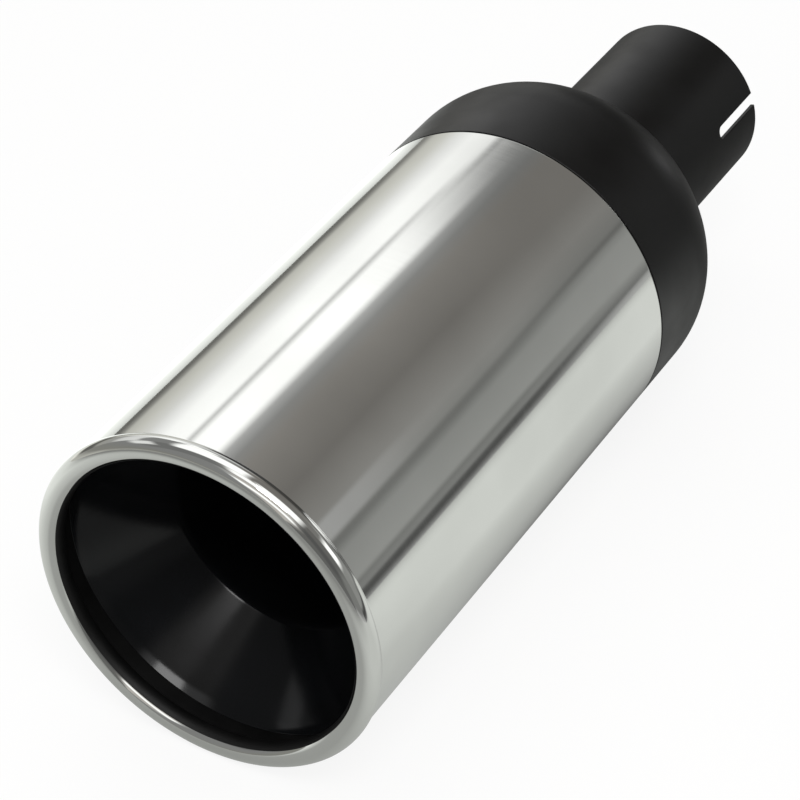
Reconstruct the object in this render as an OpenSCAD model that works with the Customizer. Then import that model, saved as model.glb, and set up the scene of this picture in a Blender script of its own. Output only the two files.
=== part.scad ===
// Round double-wall exhaust tip with a rolled lip, a domed rear cap and a slotted clamp-on neck.
// The axis runs along Y. The origin is the centre of the neck's open end, and the mouth faces -Y.

/* [Outer sleeve] */
// Outside diameter of the polished sleeve
sleeve_d = 101.6; // [90:0.1:114]
// Length of the sleeve from the front of its lip to the seam with the cap
sleeve_length = 163.7; // [120:0.1:200]
// Sheet thickness of the sleeve
sleeve_wall = 1.2; // [0.8:0.1:1.5]

/* [Rolled lip] */
// Outside diameter of the roll itself, seen in section
lip_d = 6.8; // [5.5:0.1:8]
// How far the roll stands out past the sleeve
lip_proud = 0.6; // [0.2:0.1:1.2]
// Radius of the fine inside corner where the sleeve turns out into the roll
lip_corner_r = 0.5; // [0.3:0.1:1.2]
// Angle at which the rolled edge ends, counted from the neck's side
lip_end_angle = 325; // [280:1:330]

/* [Rear cap] */
// Sheet thickness of the pressed cap
cap_wall = 1.5; // [1:0.1:2]
// Length of the cap's straight side, from the seam to the dome
cap_side = 24; // [12:1:40]
// Angle of the crown inside the dome's round shoulder, from the tip's axis
crown_angle = 72; // [60:1:80]
// Width of straight crown left between the shoulder and the weld
crown_spare = 0.1; // [0:0.1:4]
// Length of the stepped edge that slips into the sleeve
spigot_length = 6; // [4:1:12]
// Width of the fine groove left at the seam
seam_groove = 0.6; // [0.4:0.1:1.2]

/* [Inlet neck] */
// Outside diameter of the neck tube
neck_d = 54; // [48:0.5:60]
// Wall of the neck tube
neck_wall = 1.5; // [1:0.1:2.5]
// Length of the neck outside the cap
neck_out = 63.15; // [50:0.05:90]
// Length of the neck inside the cap
neck_in = 34.85; // [25:0.05:50]
// Number of clamping slots
slot_count = 2; // [1:1:4]
// Length of each slot from the open end
slot_length = 24; // [10:1:35]
// Width of each slot
slot_w = 4; // [2:0.5:6]
// Turn of the first slot about the axis, up from +X
slot_turn = 19; // [0:1:90]

/* [Inner funnel] */
// Sheet thickness of the funnel
funnel_wall = 1; // [0.8:0.1:1.5]
// Distance of the funnel's front edge behind the front of the lip
funnel_setback = 13; // [10:0.5:18]
// Length of the funnel's rim, which is less steep than its cone
rim_length = 2; // [1.5:0.5:4]
// Angle of that rim from the tip's axis
rim_angle = 27; // [20:1:35]
// Bend radius between the rim and the cone, on the inside
rim_bend = 18; // [10:1:20]
// Diameter of the funnel's throat
throat_d = 63; // [60.5:0.5:68]
// Distance of the throat behind the front of the lip
throat_setback = 38; // [34:0.5:50]
// Bend radius between the cone and the core, on the inside
throat_bend = 5; // [2:0.5:6]
// Length over which the core slips over the inner end of the neck
core_overlap = 15; // [8:1:20]

/* [Weld] */
// Leg of the fillet weld between the cap and the neck
weld_leg = 3.5; // [2.5:0.5:5]
// How far the weld's face bulges
weld_crown = 0.5; // [0.2:0.1:0.8]

/* [Fits] */
// Radial clearance of a part that slips into or over another
slip = 0.1; // [0.05:0.01:0.2]

/* [Hidden] */
$fn = 96;

// Largest turn of one straight step along a curve, in degrees
arc_step = 6;
// Overshoot of every cutting shape past the face that it cuts
cut = 1;

// Radii of the surfaces that parts share
sleeve_r = sleeve_d / 2;
bore_r = sleeve_r - sleeve_wall;
neck_r = neck_d / 2;
lip_r = lip_d / 2;
spigot_r = bore_r - slip;
throat_r = throat_d / 2;
core_r = neck_r + slip;

// Crown's outer edge, clear of the weld, and the shoulder's radius that reaches the sleeve from it
crown_r = neck_r + weld_leg * sin(crown_angle) + crown_spare;
dome_r = (sleeve_r - crown_r) / (1 - cos(crown_angle));
cap_hole_r = neck_r + slip;

// Corner between the cap's side and its crown, and the crown's face at a radius
crown_corner = [sleeve_r, -neck_out - (sleeve_r - neck_r) / tan(crown_angle)];
function crown_at(r) = [r, crown_corner[1] + (sleeve_r - r) / tan(crown_angle)];

// Places along the axis
dome_y = crown_corner[1] - dome_r * tan(crown_angle / 2);
seam_y = dome_y - cap_side;
mouth_y = seam_y - sleeve_length;
cap_start_y = seam_y + seam_groove;
neck_end_y = -neck_out - neck_in;
core_end_y = neck_end_y + core_overlap;

// Centre of the roll, and of the corner's arc, which touches the sleeve and the roll from outside
roll_c = [sleeve_r + lip_proud - lip_r, mouth_y + lip_r];
join_angle = asin((sleeve_r + lip_corner_r - roll_c[0]) / (lip_r + lip_corner_r));
corner_c = roll_c + (lip_r + lip_corner_r) * [sin(join_angle), cos(join_angle)];

// Points of an arc about c, with angles counted from +Y towards +X
function arc(c, r, from, to) =
    let (n = ceil(abs(to - from) / arc_step))
    [for (i = [0 : n]) let (a = from + (to - from) * i / n) c + r * [sin(a), cos(a)]];

function reversed(list) = [for (i = [len(list) - 1 : -1 : 0]) list[i]];
function unit(v) = v / norm(v);
function left_of(v) = unit([-v[1], v[0]]);
function turn_at(a, b, c) =
    let (u = unit(b - a), v = unit(c - b)) atan2(u[0] * v[1] - u[1] * v[0], u * v);

// Points that round the corner b of the path a, b, c to radius r
function rounded(a, b, c, r) =
    let (turn = turn_at(a, b, c), u = unit(b - a))
    r <= 0 || abs(turn) < 1 ? [b] :
    let (
        side = sign(turn),
        start = b - u * r * tan(abs(turn) / 2),
        centre = start + left_of(u) * side * r,
        n = ceil(abs(turn) / arc_step)
    )
    [for (i = [0 : n]) let (t = turn * i / n)
        centre - side * r * (left_of(u) * cos(t) - u * sin(t))];

// One skin of a bent sheet: the path's corners, rounded, moved to the left by shift
function shifted(path, i, shift) =
    let (
        last = len(path) - 1,
        n1 = left_of(path[max(i, 1)] - path[max(i, 1) - 1]),
        n2 = left_of(path[min(i, last - 1) + 1] - path[min(i, last - 1)])
    )
    path[i] + shift * (n1 + n2) / (1 + n1 * n2);
function skin(path, bends, shift) =
    let (p = [for (i = [0 : len(path) - 1]) shifted(path, i, shift)], last = len(p) - 1)
    concat([p[0]], [for (i = [1 : last - 1])
        each rounded(p[i - 1], p[i], p[i + 1],
            bends[i] <= 0 ? 0 : bends[i] - shift * sign(turn_at(p[i - 1], p[i], p[i + 1])))], [p[last]]);

// A sheet of even thickness, bent along a path of [radius, y] corners
module bent_sheet(path, bends, wall) {
    polygon(concat(skin(path, bends, 0), reversed(skin(path, bends, wall))));
}

// Turns a section drawn as [radius, y] about the tip's axis
module turned() {
    rotate([-90, 0, 0]) rotate_extrude() children();
}

// Skin of the sleeve from the seam to the end of its roll, at a depth below the outside
function sleeve_skin(depth) = concat(
    [[sleeve_r - depth, seam_y]],
    arc(corner_c, lip_corner_r + depth, 270, 180 + join_angle),
    arc(roll_c, lip_r - depth, join_angle, lip_end_angle));

// Polished tube whose front edge is rolled inwards
module outer_sleeve() {
    color("gainsboro") turned()
        polygon(concat(sleeve_skin(0), reversed(sleeve_skin(sleeve_wall))));
}

// Pressed dome, flush with the sleeve, with a stepped edge that slips into it
module rear_cap() {
    path = [
        [spigot_r, seam_y - spigot_length],
        [spigot_r, seam_y],
        [sleeve_r, cap_start_y],
        crown_corner,
        crown_at(0)
    ];
    color("dimgray") turned() difference() {
        bent_sheet(path, [0, 0, 0, dome_r, 0], cap_wall);
        translate([-cut, dome_y]) square([cap_hole_r + cut, -dome_y]);
    }
}

// Straight tube, slit from its open end so that a band clamp can close it on a pipe
module inlet_neck() {
    color("dimgray") difference() {
        rotate([90, 0, 0]) cylinder(r = neck_r, h = -neck_end_y);
        translate([0, cut, 0]) rotate([90, 0, 0])
            cylinder(r = neck_r - neck_wall, h = 2 * cut - neck_end_y);
        for (i = [0 : slot_count - 1])
            rotate([0, -slot_turn - i * 360 / slot_count, 0]) clamp_slot();
    }
}

// Cutting shape of one slot, on the +X side, with a round closed end
module clamp_slot() {
    reach = neck_r + cut;
    end_y = -slot_length + slot_w / 2;
    translate([0, end_y, -slot_w / 2]) cube([reach, cut - end_y, slot_w]);
    translate([0, end_y, 0]) rotate([0, 90, 0]) cylinder(d = slot_w, h = reach);
}

// Liner that leads from the sleeve's bore through a throat and a tapered core to the neck
module inner_funnel() {
    edge = [spigot_r, mouth_y + funnel_setback];
    rim = [-sin(rim_angle), cos(rim_angle)];
    // The sheet starts outside the bore, and is then trimmed to fit it
    path = [
        edge - rim_bend * rim,
        edge + rim_length * rim,
        [throat_r, mouth_y + throat_setback],
        [core_r, neck_end_y],
        [core_r, core_end_y]
    ];
    color("black") turned() intersection() {
        bent_sheet(path, [0, rim_bend, throat_bend, 0, 0], -funnel_wall);
        translate([0, mouth_y]) square([spigot_r, -mouth_y]);
    }
}

// Fillet weld that runs round the neck in the corner with the cap
module neck_weld() {
    corner = crown_at(neck_r);
    top = corner + [0, weld_leg];
    foot = crown_at(neck_r + weld_leg * sin(crown_angle));
    bulge = weld_crown * unit([top[1] - foot[1], foot[0] - top[0]]);
    color("dimgray") turned() polygon(concat([corner, foot],
        [for (i = [1 : 7]) let (t = i / 8) foot + (top - foot) * t + bulge * 4 * t * (1 - t)],
        [top]));
}

outer_sleeve();
rear_cap();
inlet_neck();
inner_funnel();
neck_weld();
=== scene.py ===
import math

import bmesh
import bpy
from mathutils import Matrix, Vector, noise


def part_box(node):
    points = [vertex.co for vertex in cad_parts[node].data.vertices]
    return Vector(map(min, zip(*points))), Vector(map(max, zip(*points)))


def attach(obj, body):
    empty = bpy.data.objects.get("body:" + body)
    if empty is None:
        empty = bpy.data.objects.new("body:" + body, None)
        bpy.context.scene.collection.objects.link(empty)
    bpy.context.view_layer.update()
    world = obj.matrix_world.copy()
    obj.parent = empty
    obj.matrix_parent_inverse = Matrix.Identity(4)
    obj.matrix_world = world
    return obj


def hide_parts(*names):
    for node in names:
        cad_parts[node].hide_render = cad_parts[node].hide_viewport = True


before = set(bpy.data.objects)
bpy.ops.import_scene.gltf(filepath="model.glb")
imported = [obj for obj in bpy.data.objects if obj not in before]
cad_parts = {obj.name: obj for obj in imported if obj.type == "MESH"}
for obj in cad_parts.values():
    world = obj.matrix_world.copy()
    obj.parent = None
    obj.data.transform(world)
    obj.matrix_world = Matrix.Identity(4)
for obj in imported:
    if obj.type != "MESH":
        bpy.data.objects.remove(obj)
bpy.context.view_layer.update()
print("frame loaded")

mm = 0.001  # the script's sizes are in millimetres, Blender's in metres
scene = bpy.context.scene
scene.view_settings.view_transform = "Standard"

# Where the CAD pieces begin and end along the axis, and the radii that they reach
sleeveBox, capBox, neckBox, funnelBox = (
    [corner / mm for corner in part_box(name)]
    for name in ("outer_sleeve", "rear_cap", "inlet_neck", "inner_funnel"))
mouthY, seamY = sleeveBox[0].y, sleeveBox[1].y
capRadius, neckRadius = capBox[1].z, neckBox[1].z
neckInnerY, neckOpenY = neckBox[0].y, neckBox[1].y
funnelFrontY, coreEndY = funnelBox[0].y, funnelBox[1].y


# Camera

cameraView = {
    "azimuth": 29.95,  # degrees round the object, 0 looks along +Y
    "elevation": 38.02,  # degrees above the floor
    "aim": (0.5, -178.5, 0),  # point at the middle of the picture
    "distance": 827.7,  # from that point to the lens
    "lens": 134.0,  # on a 36 mm wide sensor
}


def addCamera():
    view = cameraView
    azimuth, elevation = math.radians(view["azimuth"]), math.radians(view["elevation"])
    away = Vector((math.sin(azimuth) * math.cos(elevation),
                   -math.cos(azimuth) * math.cos(elevation), math.sin(elevation)))
    camera = bpy.data.objects.new("camera", bpy.data.cameras.new("camera"))
    scene.collection.objects.link(camera)
    camera.data.lens = view["lens"]
    camera.data.sensor_width = 36
    camera.data.clip_start = 0.05
    camera.location = (Vector(view["aim"]) + away * view["distance"]) * mm
    camera.rotation_mode = "QUATERNION"
    camera.rotation_quaternion = (-away).to_track_quat("-Z", "Y")
    scene.camera = camera


addCamera()
print("camera in place")


# Nodes and colours

def linear(code, alpha=1.0):  # sRGB hex to the linear colour that the nodes work in
    parts = [int(code[i:i + 2], 16) / 255 for i in (1, 3, 5)]
    return [c / 12.92 if c < 0.04045 else ((c + 0.055) / 1.055) ** 2.4 for c in parts] + [alpha]


def addNode(tree, kind, settings=None, values=None, links=None):
    node = tree.nodes.new("ShaderNode" + kind)
    for name, value in (settings or {}).items():
        setattr(node, name, value)
    for socket, value in (values or {}).items():
        node.inputs[socket].default_value = value
    for socket, source in (links or {}).items():
        tree.links.new(source, node.inputs[socket])
    return node


def grey(level):
    return [level, level, level, 1.0]


def newMaterial(name):
    material = bpy.data.materials.new(name)
    material.use_nodes = True
    material.node_tree.nodes.clear()
    return material, material.node_tree


def setStops(ramp, stops):  # stops are (position, colour), in order
    elements = ramp.color_ramp.elements
    while len(elements) > 1:
        elements.remove(elements[-1])
    elements[0].position, elements[0].color = stops[0]
    for position, colour in stops[1:]:
        elements.new(position).color = colour


# Mirror-polished stainless steel sheet

polishedSteel = {
    "light": "#CDCECB",
    "dark": "#C6C7C4",
    "roughness": (0.035, 0.075),
    "buffSpacing": 0.7,  # mm between buffing marks, coarser than the real ones so that they show
    "buffDepth": 0.0004,  # mm
    "buffStretch": 50,  # how much longer the marks are round the tube than along it
    "buffStrength": 0.3,
    "clouding": 45,  # mm across one patch of slightly different polish
}


def makePolishedSteel():
    # Mirror-polished stainless: a clear neutral mirror, softened a little by marks that run round the tube
    look = polishedSteel
    material, tree = newMaterial("stainless_steel_mirror_polished")
    place = addNode(tree, "TexCoord").outputs["Object"]
    clouds = addNode(tree, "TexNoise", {}, {"Scale": 1 / (look["clouding"] * mm), "Detail": 3.0}, {"Vector": place})
    colour = addNode(tree, "ValToRGB", {}, {}, {"Fac": clouds.outputs["Fac"]})
    setStops(colour, [(0.35, linear(look["dark"])), (0.65, linear(look["light"]))])
    # Stretched round the axis, so that the noise turns into fine rings
    across = 1 / look["buffStretch"]
    squeezed = addNode(tree, "Mapping", {"vector_type": "POINT"}, {"Scale": (across, 1.0, across)}, {"Vector": place})
    marks = addNode(tree, "TexNoise", {}, {"Scale": 1 / (look["buffSpacing"] * mm), "Detail": 4.0},
                    {"Vector": squeezed.outputs["Vector"]})
    roughness = addNode(tree, "MapRange", {}, {"From Min": 0.3, "From Max": 0.7, "To Min": look["roughness"][0],
                                               "To Max": look["roughness"][1]}, {"Value": marks.outputs["Fac"]})
    bump = addNode(tree, "Bump", {}, {"Strength": look["buffStrength"], "Distance": look["buffDepth"] * mm},
                   {"Height": marks.outputs["Fac"]})
    steel = addNode(tree, "BsdfPrincipled", {}, {"Metallic": 1.0},
                    {"Base Color": colour.outputs["Color"], "Roughness": roughness.outputs["Result"],
                     "Normal": bump.outputs["Normal"]})
    addNode(tree, "OutputMaterial", {}, {}, {"Surface": steel.outputs["BSDF"]})
    return material


# Black paints

paintLooks = {
    # Sprayed heat-resistant paint: deep matt black with a dry grain, grey only at a glancing angle
    "black_heat_paint_sprayed": {
        "light": "#070707", "dark": "#050505", "roughness": (0.34, 0.44), "ior": 1.3,
        "grain": 0.35, "grainDepth": 0.012, "patch": 14},
    # Thicker coating that flows out before it is baked: satin, with a faint orange peel
    "black_liner_enamel_baked": {
        "light": "#0F1012", "dark": "#0B0C0D", "roughness": (0.11, 0.15), "ior": 1.28,
        "grain": 2.2, "grainDepth": 0.006, "patch": 20},
    # The same spray, thin and dusty where it drifted inside the roll of the lip
    "black_heat_paint_drifted": {
        "light": "#080808", "dark": "#040404", "roughness": (0.5, 0.6), "ior": 1.36,
        "grain": 0.3, "grainDepth": 0.01, "patch": 10},
}


def makePaint(name):
    look = paintLooks[name]
    material, tree = newMaterial(name)
    place = addNode(tree, "TexCoord").outputs["Object"]
    patches = addNode(tree, "TexNoise", {}, {"Scale": 1 / (look["patch"] * mm), "Detail": 5.0}, {"Vector": place})
    colour = addNode(tree, "ValToRGB", {}, {}, {"Fac": patches.outputs["Fac"]})
    setStops(colour, [(0.3, linear(look["dark"])), (0.7, linear(look["light"]))])
    roughness = addNode(tree, "MapRange", {}, {"From Min": 0.3, "From Max": 0.7, "To Min": look["roughness"][0],
                                               "To Max": look["roughness"][1]}, {"Value": patches.outputs["Fac"]})
    grain = addNode(tree, "TexNoise", {}, {"Scale": 1 / (look["grain"] * mm), "Detail": 2.0}, {"Vector": place})
    bump = addNode(tree, "Bump", {}, {"Strength": 0.5, "Distance": look["grainDepth"] * mm},
                   {"Height": grain.outputs["Fac"]})
    paint = addNode(tree, "BsdfPrincipled", {}, {"IOR": look["ior"]},
                    {"Base Color": colour.outputs["Color"], "Roughness": roughness.outputs["Result"],
                     "Normal": bump.outputs["Normal"]})
    addNode(tree, "OutputMaterial", {}, {}, {"Surface": paint.outputs["BSDF"]})
    return material


steelMaterial = makePolishedSteel()
mattPaint = makePaint("black_heat_paint_sprayed")
linerEnamel = makePaint("black_liner_enamel_baked")
driftPaint = makePaint("black_heat_paint_drifted")
print("materials made")


# Turned sheet metal
# A section is a list of (radius, y) corners in mm. Angles on it are counted from +Y towards the outside.

def arcPoints(centre, radius, start, end, step):
    count = max(1, math.ceil(abs(end - start) / step))
    angles = [math.radians(start + (end - start) * i / count) for i in range(count + 1)]
    return [(centre[0] + radius * math.sin(a), centre[1] + radius * math.cos(a)) for a in angles]


def roundCorners(corners, radii, step):  # replaces each corner that has a radius by an arc
    points = [corners[0]]
    for before, corner, after, radius in zip(corners, corners[1:], corners[2:], radii):
        back, ahead = (Vector(before) - Vector(corner)).normalized(), (Vector(after) - Vector(corner)).normalized()
        half = back.angle(ahead) / 2
        if radius <= 0 or half > math.radians(89.5):
            points.append(corner)
            continue
        centre = Vector(corner) + (back + ahead).normalized() * radius / math.sin(half)
        first = Vector(corner) + back * radius / math.tan(half) - centre
        turn = first.angle_signed(Vector(corner) + ahead * radius / math.tan(half) - centre)
        count = max(1, math.ceil(abs(math.degrees(turn)) / step))
        for i in range(count + 1):
            t = -turn * i / count
            points.append((centre.x + first.x * math.cos(t) - first.y * math.sin(t),
                           centre.y + first.x * math.sin(t) + first.y * math.cos(t)))
    return points + [corners[-1]]


def shiftPath(corners, shift):  # the other skin of a sheet, to the left of the path
    lines = [(Vector(b) - Vector(a)).normalized() for a, b in zip(corners, corners[1:])]
    moved = []
    for i, corner in enumerate(corners):
        n1, n2 = (Vector((-line.y, line.x)) for line in (lines[max(i, 1) - 1], lines[min(i, len(lines) - 1)]))
        moved.append(tuple(Vector(corner) + (n1 + n2) * shift / (1 + n1.dot(n2))))
    return moved


def holdStraights(points, hold=0.25, longer=1.5):
    # Extra rings close to both ends of each straight run keep its shading flat right up to the bend
    held = []
    for a, b in zip(points, points[1:] + points[:1]):
        held.append(a)
        length = math.dist(a, b)
        if length > longer:
            for share in (hold / length, 1 - hold / length):
                held.append((a[0] + (b[0] - a[0]) * share, a[1] + (b[1] - a[1]) * share))
    return held


def turnMesh(name, section, segments, materials, materialAt=None):
    # Turns a closed section about the axis. materialAt gives the slot number for the middle of one step of it.
    mesh = bpy.data.meshes.new(name)
    vertices, faces = [], []
    count = len(section)
    for i in range(segments):
        angle = 2 * math.pi * i / segments
        vertices += [(r * math.cos(angle) * mm, y * mm, r * math.sin(angle) * mm) for r, y in section]
    for i in range(segments):
        here, there = i * count, (i + 1) % segments * count
        for j in range(count):
            k = (j + 1) % count
            faces.append((here + j, here + k, there + k, there + j))
    mesh.from_pydata(vertices, [], faces)
    for material in materials:
        mesh.materials.append(material)
    if materialAt:
        slots = [materialAt(((section[j][0] + section[(j + 1) % count][0]) / 2,
                             (section[j][1] + section[(j + 1) % count][1]) / 2)) for j in range(count)]
        mesh.polygons.foreach_set("material_index", slots * segments)
    mesh.shade_smooth()
    fixNormals(mesh)
    piece = bpy.data.objects.new(name, mesh)
    scene.collection.objects.link(piece)
    return piece


def fixNormals(mesh):
    work = bmesh.new()
    work.from_mesh(mesh)
    bmesh.ops.recalc_face_normals(work, faces=work.faces)
    work.to_mesh(mesh)
    work.free()


def fitPiece(piece, node):  # the piece stands for a CAD node and moves with the part
    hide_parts(node)
    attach(piece, "root")


# Sleeve with its rolled lip

sleeve = {
    "radius": 50.8,
    "wall": 1.2,
    "lipRadius": 3.4,  # of the roll, in section
    "lipProud": 0.6,
    "cornerRadius": 0.5,  # where the sleeve turns out into the roll
    "rollEnd": 325,  # angle on the roll where the sheet ends
    "polishEnd": 229,  # angle on the roll where the polish gives way to black paint
    "edge": 0.15,  # rounding of the cut edge at the seam
    "segments": 320,
    "hold": 0.3,  # mm from each end of a straight run to the ring that keeps its shading flat
    "wave": 0.035,  # mm, how far the sheet is out of true
    "waveLength": 60,  # mm
    "waveRing": 5,  # mm between rings of the straight part
    "waveFade": (15, 10),  # mm over which it dies out, at the lip and at the seam
}


def sleeveSkin(depth, step):
    size = sleeve
    lip = (size["radius"] + size["lipProud"] - size["lipRadius"], mouthY + size["lipRadius"])
    cornerX, reach = size["radius"] + size["cornerRadius"], size["lipRadius"] + size["cornerRadius"]
    join = math.asin((cornerX - lip[0]) / reach)
    corner = (cornerX, lip[1] + reach * math.cos(join))
    join = math.degrees(join)
    points = arcPoints(corner, size["cornerRadius"] + depth, 270, 180 + join, step)
    points += arcPoints(lip, size["lipRadius"] - depth, join, size["rollEnd"], step)[1:]
    return points, lip


def makeSleeve():
    size = sleeve
    outside, lip = sleeveSkin(0, 2)
    inside, _ = sleeveSkin(size["wall"], 8)
    straight = seamY - outside[0][1]
    rings = round(straight / size["waveRing"])
    tube = [(size["radius"], seamY - size["edge"] - (straight - size["edge"]) * i / rings) for i in range(rings)]
    # A ring close to each end keeps the reflections straight up to the seam and the lip
    tube.insert(1, (size["radius"], seamY - size["edge"] - size["hold"]))
    tube.append((size["radius"], outside[0][1] + size["hold"]))
    bore = size["radius"] - size["wall"]
    cutEdge = roundCorners([(bore, seamY - 1), (bore, seamY), (size["radius"], seamY), (size["radius"], seamY - 1)],
                           [size["edge"]] * 2, 22.5)[1:-1]
    loop = inside[::-1] + cutEdge[:-1] + tube + outside

    def paintOrPolish(spot):
        angle = math.degrees(math.atan2(spot[0] - lip[0], spot[1] - lip[1])) % 360
        reach = math.dist(spot, lip)
        onRoll = reach < size["lipRadius"] + 0.3
        if onRoll:
            return 0 if reach > size["lipRadius"] - 0.3 and angle < size["polishEnd"] else 1
        return 0 if spot[0] > bore + 0.2 else 1

    piece = turnMesh("polished_sleeve", holdStraights(loop, size["hold"], 20), size["segments"],
                     [steelMaterial, driftPaint], paintOrPolish)
    # Rolled sheet is never dead true, and a mirror finish shows it: its reflected lines wander a little
    front = outside[0][1]
    frontFade, seamFade = size["waveFade"]
    for vertex in piece.data.vertices:
        x, y, z = vertex.co / mm
        radius = math.hypot(x, z)
        if radius > bore + 0.2 and y > front:
            fade = min(1, (y - front) / frontFade, (seamY - y) / seamFade)
            lift = noise.noise(Vector((x, y * 0.5, z)) / size["waveLength"]) * size["wave"] * fade
            vertex.co.x, vertex.co.z = x * (1 + lift / radius) * mm, z * (1 + lift / radius) * mm
    fitPiece(piece, "outer_sleeve")


makeSleeve()
print("sleeve made")


# Domed rear cap

cap = {
    "wall": 1.5,
    "side": 24,  # straight part between the seam and the dome
    "crownAngle": 72,  # from the axis
    "crownEdge": 30.43,  # radius where the round shoulder ends
    "spigotRadius": 49.5,
    "spigot": 6,
    "seamGroove": 0.6,
    "edge": 0.3,
    "hole": 27.1,
    "segments": 256,
}


def makeCap():
    size = cap
    slope = math.radians(size["crownAngle"])
    domeRadius = (capRadius - size["crownEdge"]) / (1 - math.cos(slope))
    corner = (capRadius, seamY + size["side"] + domeRadius * math.tan(slope / 2))

    def crownAt(radius):
        return radius, corner[1] + (capRadius - radius) / math.tan(slope)

    path = [(size["spigotRadius"], seamY - size["spigot"]), (size["spigotRadius"], seamY),
            (capRadius, seamY + size["seamGroove"]), corner, crownAt(size["hole"])]
    outside = roundCorners(path, [0.2, size["edge"], domeRadius], 2.5)
    underside = roundCorners(shiftPath(path, size["wall"]), [0, 0, domeRadius - size["wall"]], 6)
    # The hole is cut parallel to the axis
    underside[-1] = (size["hole"], crownAt(size["hole"])[1] - size["wall"] / math.sin(slope))
    piece = turnMesh("domed_rear_cap", holdStraights(outside + underside[::-1]), size["segments"], [mattPaint])
    fitPiece(piece, "rear_cap")
    return crownAt


crownAt = makeCap()
print("cap made")


# Inlet neck

neck = {
    "wall": 1.5,
    "slotLength": 24,
    "slotWidth": 4,
    "slotTurn": 19,  # degrees up from +X, the second slot lies opposite
    "edge": 0.3,  # rounding of the cut edges
    "columns": 144,
}


def makeNeck():
    # Drawn as a flat plate with its slots, cut edges rounded, then rolled round the axis
    size = neck
    half = math.pi * neckRadius
    slotEnd = neckOpenY - size["slotLength"] + size["slotWidth"] / 2
    outline = [(-half, neckInnerY), (half, neckInnerY), (half, neckOpenY)]
    for middle in (half / 2, -half / 2):
        outline.append((middle + size["slotWidth"] / 2, neckOpenY))
        outline += [(middle + size["slotWidth"] / 2 * math.cos(math.radians(a)),
                     slotEnd - size["slotWidth"] / 2 * math.sin(math.radians(a))) for a in range(0, 181, 15)]
        outline.append((middle - size["slotWidth"] / 2, neckOpenY))
    outline.append((-half, neckOpenY))

    plate = bmesh.new()
    face = plate.faces.new([plate.verts.new((x, y, 0)) for x, y in outline])
    raised = bmesh.ops.extrude_face_region(plate, geom=[face])
    bmesh.ops.translate(plate, vec=(0, 0, -size["wall"]),
                        verts=[item for item in raised["geom"] if isinstance(item, bmesh.types.BMVert)])

    def atSeam(thing):
        return all(abs(abs(vertex.co.x) - half) < 0.01 for vertex in thing.verts)

    flatEdges = [edge for edge in plate.edges
                 if abs(edge.verts[0].co.z - edge.verts[1].co.z) < 0.01 and not atSeam(edge)]
    bmesh.ops.bevel(plate, geom=flatEdges, offset=size["edge"], segments=3, profile=0.5, affect="EDGES")
    bmesh.ops.delete(plate, geom=[face for face in plate.faces if atSeam(face)], context="FACES")
    for i in range(1, size["columns"]):
        everything = plate.verts[:] + plate.edges[:] + plate.faces[:]
        bmesh.ops.bisect_plane(plate, geom=everything, plane_no=(1, 0, 0),
                               plane_co=(-half + 2 * half * i / size["columns"], 0, 0))
    for y in (neckInnerY + 1, slotEnd - 3, neckOpenY - 1):
        everything = plate.verts[:] + plate.edges[:] + plate.faces[:]
        bmesh.ops.bisect_plane(plate, geom=everything, plane_no=(0, 1, 0), plane_co=(0, y, 0))
    for vertex in plate.verts:
        angle = math.radians(size["slotTurn"] + 90) + vertex.co.x / neckRadius
        radius = neckRadius + vertex.co.z
        vertex.co = Vector((radius * math.cos(angle), vertex.co.y, radius * math.sin(angle))) * mm
    bmesh.ops.remove_doubles(plate, verts=plate.verts, dist=0.01 * mm)
    bmesh.ops.recalc_face_normals(plate, faces=plate.faces)
    mesh = bpy.data.meshes.new("slotted_inlet_neck")
    plate.to_mesh(mesh)
    plate.free()
    mesh.materials.append(mattPaint)
    mesh.shade_smooth()
    piece = bpy.data.objects.new("slotted_inlet_neck", mesh)
    scene.collection.objects.link(piece)
    weighted = piece.modifiers.new("weightedNormals", "WEIGHTED_NORMAL")
    weighted.weight = 100
    fitPiece(piece, "inlet_neck")


makeNeck()
print("neck made")


# Inner funnel

funnel = {
    "wall": 1,
    "edgeRadius": 49.5,  # where its front edge meets the sleeve
    "rim": 2,  # length of the rim, less steep than the cone
    "rimAngle": 27,
    "rimBend": 18,
    "throatRadius": 31.5,
    "throatSetback": 38,  # behind the front of the lip
    "throatBend": 5,
    "coreRadius": 27.1,
    "edge": 0.1,
    "segments": 256,
}


def trimToRadius(points, radius):  # drops what lies outside the radius, and ends exactly on it
    kept = [i for i, point in enumerate(points) if point[0] <= radius]
    inner, outer = points[kept[0]], points[kept[0] - 1]
    share = (radius - inner[0]) / (outer[0] - inner[0])
    return [(radius, inner[1] + (outer[1] - inner[1]) * share)] + [points[i] for i in kept]


def makeFunnel():
    size = funnel
    core, wall, slope = size["coreRadius"], size["wall"], math.radians(size["rimAngle"])
    edge, along = Vector((size["edgeRadius"], funnelFrontY)), Vector((-math.sin(slope), math.cos(slope)))
    path = [tuple(edge - along * size["rimBend"]), tuple(edge + along * size["rim"]),
            (size["throatRadius"], mouthY + size["throatSetback"]), (core, neckInnerY), (core, coreEndY)]
    bends = [size["rimBend"], size["throatBend"], 0]
    inside = trimToRadius(roundCorners(path, bends, 1.5), edge.x)
    outside = trimToRadius(roundCorners(shiftPath(path, -wall), [bends[0] + wall, bends[1] - wall, 0], 6), edge.x)
    front = roundCorners([outside[0], inside[0], inside[1]], [size["edge"]], 30)
    piece = turnMesh("funnel_liner", holdStraights(front[1:] + inside[2:] + outside[::-1], 0.25, 1),
                     size["segments"], [linerEnamel])
    fitPiece(piece, "inner_funnel")


makeFunnel()
print("funnel made")


# Weld between cap and neck

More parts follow.
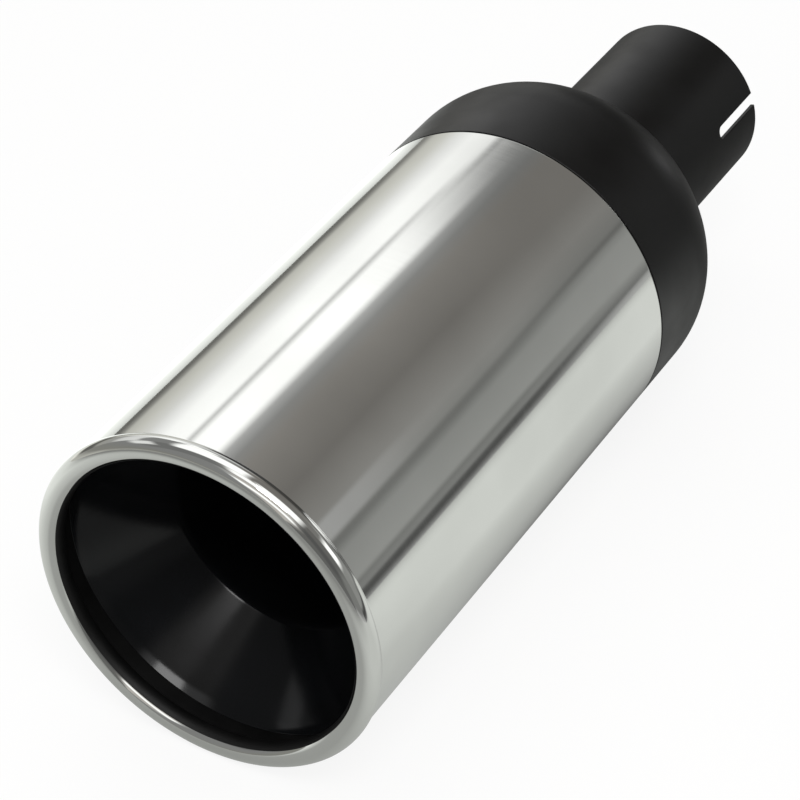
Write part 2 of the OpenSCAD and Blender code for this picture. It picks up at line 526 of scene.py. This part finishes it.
weld = {
    "leg": 3.5,
    "bulge": 0.5,
    "ripple": 1.7,  # mm from one ripple to the next
    "rippleDepth": 0.28,
    "crescent": 0.55,  # ripples by which the middle of the bead runs ahead of its sides
    "wander": 0.15,  # mm, unevenness of the hand
    "stepsPerRipple": 6,
    "rows": 12,  # steps across the bead
}


def makeWeld():
    # A hand-laid fillet: overlapping crescents, each the edge of one pool of metal, under the paint
    size = weld
    slope = math.radians(cap["crownAngle"])
    corner, foot = crownAt(neckRadius), crownAt(neckRadius + size["leg"] * math.sin(slope))
    top = (corner[0], corner[1] + size["leg"])
    outward = Vector((top[1] - foot[1], foot[0] - top[0])).normalized()
    count = round(2 * math.pi * (neckRadius + size["leg"] / 2) / size["ripple"])
    segments = count * size["stepsPerRipple"]
    vertices, faces = [], []
    rows = size["rows"]
    for i in range(segments):
        angle = 2 * math.pi * i / segments
        ring = [Vector(corner)]
        for j in range(rows + 1):
            t = j / rows
            crescent = 4 * t * (1 - t)
            phase = (i / size["stepsPerRipple"] + size["crescent"] * crescent) % 1
            lift = size["bulge"] * crescent - size["rippleDepth"] * phase ** 2 * min(1, 6 * t * (1 - t))
            wander = size["wander"] * noise.noise(Vector((math.cos(angle), math.sin(angle), 0)) * 9)
            ring.append(Vector(foot).lerp(Vector(top), t) + outward * max(-0.1, lift + wander * crescent))
        vertices += [(p.x * math.cos(angle) * mm, p.y * mm, p.x * math.sin(angle) * mm) for p in ring]
    ringSize = rows + 2
    for i in range(segments):
        here, there = i * ringSize, (i + 1) % segments * ringSize
        for j in range(ringSize):
            k = (j + 1) % ringSize
            faces.append((here + j, here + k, there + k, there + j))
    mesh = bpy.data.meshes.new("neck_weld_bead")
    mesh.from_pydata(vertices, [], faces)
    mesh.materials.append(mattPaint)
    mesh.shade_smooth()
    fixNormals(mesh)
    piece = bpy.data.objects.new("neck_weld_bead", mesh)
    scene.collection.objects.link(piece)
    fitPiece(piece, "neck_weld")


makeWeld()
print("weld made")


# Table

table = {
    "left": -490, "right": 380, "near": -2500, "far": 2500,
    "colour": "#F2F2F0",
    "frostGrain": 2.5,  # mm
    "frostDepth": 0.02,  # mm
    "cameraGlow": 0.88,  # share of plain white that the camera sees, the rest is lit and shaded
    "metalGlow": 0.8,  # the same for what the metal reflects, whose glow carries the painted light and shade below
    # What the metal reflects, painted onto the table from left to right: x in mm and level, beside the sleeve and in
    # front of the mouth. The low levels under the sleeve are a painted contact shadow, the high ones on the left a
    # painted pool of light.
    "beside": [(-490, 0.95), (-400, 1.05), (-245, 1.35), (-180, 1.75), (-100, 1.75), (-60, 0.9), (-50, 0.28),
               (38, 0.18), (60, 0.55), (100, 0.98), (245, 1.0), (300, 0.9), (338, 0.78), (380, 0.6)],
    "inFront": [(-490, 1.05), (-180, 1.2), (-105, 0.86), (-60, 0.66), (-40, 0.42), (30, 0.42), (70, 0.7),
                (110, 0.84), (380, 0.8)],
    "mouth": (-130, -240),  # from and to along the axis, where the first gives way to the second
    "front": (-310, -560, 0.2),  # from and to, and the level it falls to: painted shade on the table in front of the mouth
    "behind": (-130, -70, 0.08),  # the same behind the sleeve, counted from the diagonals: a painted shadow
}


def makeTable():
    size = table
    low = sleeveBox[0].z
    mesh = bpy.data.meshes.new("white_table")
    corners = [(size["left"], size["near"]), (size["right"], size["near"]),
               (size["right"], size["far"]), (size["left"], size["far"])]
    mesh.from_pydata([(x * mm, y * mm, low * mm) for x, y in corners], [], [(0, 1, 2, 3)])
    # Frosted white acrylic: plain and pale, with hardly any texture. What the metal reflects of it is a glow with
    # painted light and shadow.
    material, tree = newMaterial("acrylic_white_painted_light_and_shade")
    position = addNode(tree, "TexCoord").outputs["Object"]
    frost = addNode(tree, "TexNoise", {}, {"Scale": 1 / (size["frostGrain"] * mm), "Detail": 2.0},
                    {"Vector": position})
    bump = addNode(tree, "Bump", {}, {"Strength": 0.1, "Distance": size["frostDepth"] * mm},
                   {"Height": frost.outputs["Fac"]})
    lit = addNode(tree, "BsdfDiffuse", {}, {"Color": linear(size["colour"])}, {"Normal": bump.outputs["Normal"]})
    place = addNode(tree, "SeparateXYZ", {}, {}, {"Vector": position}).outputs
    across = addNode(tree, "MapRange", {}, {"From Min": size["left"] * mm, "From Max": size["right"] * mm},
                     {"Value": place["X"]})
    ramps, width = [], size["right"] - size["left"]
    for name in ("beside", "inFront"):
        ramps.append(addNode(tree, "ValToRGB", {}, {}, {"Fac": across.outputs["Result"]}))
        setStops(ramps[-1], [((x - size["left"]) / width, grey(amount)) for x, amount in size[name]])
    change = addNode(tree, "MapRange", {"interpolation_type": "SMOOTHSTEP"},
                     {"From Min": size["mouth"][0] * mm, "From Max": size["mouth"][1] * mm}, {"Value": place["Y"]})
    level = addNode(tree, "Mix", {}, {}, {0: change.outputs["Result"], 2: ramps[0].outputs["Color"],
                                          3: ramps[1].outputs["Color"]})
    aside = addNode(tree, "Math", {"operation": "ABSOLUTE"}, {}, {0: place["X"]})
    back = addNode(tree, "Math", {"operation": "SUBTRACT"}, {}, {0: place["Y"], 1: aside.outputs[0]})
    for (start, end, amount), source in ((size["front"], place["Y"]), (size["behind"], back.outputs[0])):
        level = addNode(tree, "MapRange", {"interpolation_type": "SMOOTHSTEP"},
                        {"From Min": start * mm, "From Max": end * mm, "To Max": amount},
                        {"Value": source, "To Min": level.outputs[0]})
    plain = addNode(tree, "Emission", {}, {"Color": (1, 1, 1, 1), "Strength": 1.0})
    # Painted light and shade: the glow that the metal reflects, dark under and behind the sleeve and in front of the
    # mouth, bright on the left
    paintedLightAndShade = addNode(tree, "Emission", {}, {"Color": linear("#FCFFFB")}, {"Strength": level.outputs[0]})
    rays = addNode(tree, "LightPath").outputs
    white = addNode(tree, "MixShader", {}, {}, {0: rays["Is Glossy Ray"], 1: plain.outputs[0],
                                                2: paintedLightAndShade.outputs[0]})
    share = addNode(tree, "Math", {"operation": "MULTIPLY"}, {1: size["metalGlow"]}, {0: rays["Is Glossy Ray"]})
    share = addNode(tree, "Math", {"operation": "MULTIPLY_ADD", "use_clamp": True}, {1: size["cameraGlow"]},
                    {0: rays["Is Camera Ray"], 2: share.outputs[0]})
    both = addNode(tree, "MixShader", {}, {}, {0: share.outputs[0], 1: lit.outputs[0], 2: white.outputs[0]})
    addNode(tree, "OutputMaterial", {}, {}, {"Surface": both.outputs[0]})
    mesh.materials.append(material)
    floor = bpy.data.objects.new("white_table", mesh)
    scene.collection.objects.link(floor)


makeTable()
print("table made")


# Studio
# Long soft boxes, walls and flags run along the tip's axis, so that each shows in the polished sleeve as one
# straight band. A ring lists what stands where: the angle round the axis, counted from +X over the top, and the
# level there, 1 being white. It starts at an angle towards +Y, the neck's side. Cards are smaller lamps and
# flags in front of the rings, most of them for the lip alone.

studio = {
    "soften": 4.0,  # degrees over which one ring runs into the next
    "rings": [
        # Low in front of the mouth
        (-90, [(-37, 0.6), (-27, 0.22), (8, 0.19), (40, 0.2), (55, 0.75), (98, 0.68), (112, 0.33), (178, 0.33),
               (192, 0.6)]),
        # Over the mouth
        (-36, [(-13, 0.8), (-7, 0.3), (13, 0.3), (20, 0.2), (47, 0.2), (54, 0.4), (95, 0.42), (106, 0.25),
               (148, 0.25), (156, 0.33), (180, 0.35), (188, 0.7)]),
        # Over the lip
        (0, [(-14, 0.6), (-11, 0.3), (-9, 0.1), (-6, 0.1), (-3, 0.4), (20, 0.4), (30, 0.3), (60, 0.26),
             (90, 0.26), (104, 0.45), (126, 0.45), (132, 0.32), (148, 0.36), (151, 1.15), (161, 1.0),
             (166, 0.5), (174, 0.5), (177, 0.18), (184, 0.18), (188, 1.2)]),
        # Over the sleeve
        (34, [
            (-14, 0.6), (-11, 0.3), (-9, 0.12), (-6, 0.12),  # dark gap beyond the table
            (-4, 0.33), (0, 0.28), (3, 0.44), (20, 0.39),  # right wall
            (26, 0.24), (28, 0.25), (31, 0.35), (38, 0.38),  # thin flag on it
            (67, 0.24), (88, 0.31), (104, 0.38), (111, 0.62),  # ceiling over the camera
            (114, 1.3), (116, 1.75), (131, 1.75), (135, 0.85), (138, 1.7), (151, 1.6),  # soft box with a bar
            (165, 1.05), (181, 0.72), (184, 0.4), (188, 0.2),  # left wall, and a gap again
        ]),
        # Over the neck, where the soft box ends
        (46.2, [
            (-12, 0.62), (-9, 0.5), (-7, 0.25), (-5, 0.28),
            (1, 0.43), (21, 0.4), (26, 0.33), (29, 0.18), (32, 0.26), (46, 0.31),
            (63, 0.25), (105, 0.25), (118, 0.36),
            (127, 0.6), (130, 0.46), (132, 0.72), (135, 1.3), (150, 1.45), (163, 1.15),
            (171, 0.9), (181, 0.75), (184, 0.6), (188, 0.35),
        ]),
        # Behind the neck
        (53, [(-41, 0.6), (-32, 0.15), (-27, 0.15), (-20, 0.3), (14, 0.3), (20, 0.2), (85, 0.2), (100, 0.5),
              (118, 0.9), (180, 0.9), (205, 0.5)]),
        (65, [(-90, 0.35), (-35, 0.08), (180, 0.08), (215, 0.35)]),
    ],
    "tints": [(-14, "#FFFFFF"), (0, "#FEFFFC"), (24, "#FEFFFC"), (45, "#FFFCF8"), (70, "#FFF9F3"),
              (95, "#FFF9F3"), (106, "#FFFFFF"), (160, "#FFFFFF"), (175, "#FFFEF6"), (190, "#FFFEF6")],
    "cards": [  # angle round the axis, its width, angle towards +Y, its height, softness of the edges, level
        (36, 12, 39, 5, 4, 0.55),  # glint on the right near the mouth
        (28, 15, 20, 30, 8, 1.9),  # lamp low on the right
        (30, 22, 69, 18, 6, 1.3),  # lamp behind on the right
        (0, 84, 78, 11, 5, 1.5),  # and one above it
        (108, 42, 13, 42, 7, 1.75),  # front of the large soft box
        (148, 13, -12, 20, 6, 1.2),  # small white card on the left
        (78, 56, -58, 14, 8, 1.75),  # strip lamp over the camera
        (30, 40, -41, 26, 14, 0.14),  # black flag in front of the mouth
        (65, 29, -12, 38, 8, 1.75),  # diffuser round the main light
        (84, 28, -20, 22, 9, 1.7),
    ],
}


def makeStudio():
    light = studio
    world = bpy.data.worlds.new("studio")
    scene.world = world
    world.use_nodes = True
    tree = world.node_tree
    tree.nodes.clear()
    direction = addNode(tree, "TexCoord").outputs["Generated"]
    axes = addNode(tree, "SeparateXYZ", {}, {}, {"Vector": direction}).outputs
    left = addNode(tree, "Math", {"operation": "MULTIPLY"}, {1: -1.0}, {0: axes["X"]})
    angle = addNode(tree, "Math", {"operation": "ARCTAN2"}, {}, {0: left.outputs[0], 1: axes["Z"]})
    turn = addNode(tree, "MapRange", {}, {"From Min": -math.pi, "From Max": math.pi}, {"Value": angle.outputs[0]})
    around = addNode(tree, "MapRange", {}, {"To Min": -90.0, "To Max": 270.0}, {"Value": turn.outputs["Result"]})
    towards = addNode(tree, "Math", {"operation": "ARCSINE"}, {}, {0: axes["Y"]})
    towards = addNode(tree, "Math", {"operation": "DEGREES"}, {}, {0: towards.outputs[0]}).outputs[0]

    def window(source, middle, width, blur):  # 1 inside the width, 0 outside it
        off = addNode(tree, "Math", {"operation": "SUBTRACT"}, {1: middle}, {0: source})
        off = addNode(tree, "Math", {"operation": "ABSOLUTE"}, {}, {0: off.outputs[0]})
        return addNode(tree, "MapRange", {"interpolation_type": "SMOOTHSTEP"},
                       {"From Min": (width + blur) / 2, "From Max": (width - blur) / 2},
                       {"Value": off.outputs[0]}).outputs["Result"]

    def mixIn(under, over, share):
        return addNode(tree, "Mix", {"data_type": "RGBA"}, {}, {0: share, 6: under, 7: over}).outputs[2]

    def ramp(stops):
        node = addNode(tree, "ValToRGB", {}, {}, {"Fac": turn.outputs["Result"]})
        setStops(node, [((angle + 90) / 360, colour) for angle, colour in stops])
        return node.outputs["Color"]

    colour, soft = None, light["soften"] / 2
    for start, levels in light["rings"]:
        ring = ramp([(angle, grey(level)) for angle, level in levels])
        if colour is None:
            colour = ring
            continue
        share = addNode(tree, "MapRange", {"interpolation_type": "SMOOTHSTEP"},
                        {"From Min": start - soft, "From Max": start + soft}, {"Value": towards})
        colour = mixIn(colour, ring, share.outputs["Result"])
    tints = ramp([(angle, linear(code)) for angle, code in light["tints"]])
    colour = addNode(tree, "Mix", {"data_type": "RGBA", "blend_type": "MULTIPLY"}, {0: 1.0},
                     {6: colour, 7: tints}).outputs[2]
    for middle, width, height, tall, blur, level in light["cards"]:
        share = addNode(tree, "Math", {"operation": "MULTIPLY"}, {},
                        {0: window(around.outputs["Result"], middle, width, blur),
                         1: window(towards, height, tall, blur)})
        colour = addNode(tree, "Mix", {"data_type": "RGBA"}, {7: grey(level)},
                         {0: share.outputs[0], 6: colour}).outputs[2]
    # The camera sees plain white, everything else the studio
    room = addNode(tree, "Background", {}, {"Strength": 1.0}, {"Color": colour})
    white = addNode(tree, "Background", {}, {"Color": (1, 1, 1, 1), "Strength": 1.0})
    rays = addNode(tree, "LightPath").outputs
    both = addNode(tree, "MixShader", {}, {}, {0: rays["Is Camera Ray"], 1: room.outputs[0], 2: white.outputs[0]})
    addNode(tree, "OutputWorld", {}, {}, {"Surface": both.outputs[0]})


makeStudio()

softBox = {
    "around": 70, "span": 20,  # degrees round the axis: its middle and its width
    "distance": 1400,  # from the axis
    "front": -1165, "back": -600,  # where it begins and ends along the axis
    "brightness": 11.0,  # as the metal shows it, 1 is white
}


def addSoftBox():  # the main light, over and in front of the mouth
    box = softBox
    around = math.radians(box["around"])
    width = 2 * box["distance"] * math.tan(math.radians(box["span"] / 2)) * mm
    length = (box["back"] - box["front"]) * mm
    lamp = bpy.data.lights.new("overhead_soft_box", "AREA")
    lamp.shape = "RECTANGLE"
    lamp.size, lamp.size_y = width, length
    lamp.energy = box["brightness"] * math.pi * width * length
    holder = bpy.data.objects.new("overhead_soft_box", lamp)
    holder.location = Vector((math.cos(around) * box["distance"], (box["front"] + box["back"]) / 2,
                              math.sin(around) * box["distance"])) * mm
    holder.rotation_euler = (0, math.pi / 2 - around, 0)
    holder.visible_camera = False
    scene.collection.objects.link(holder)


addSoftBox()
print("studio made")
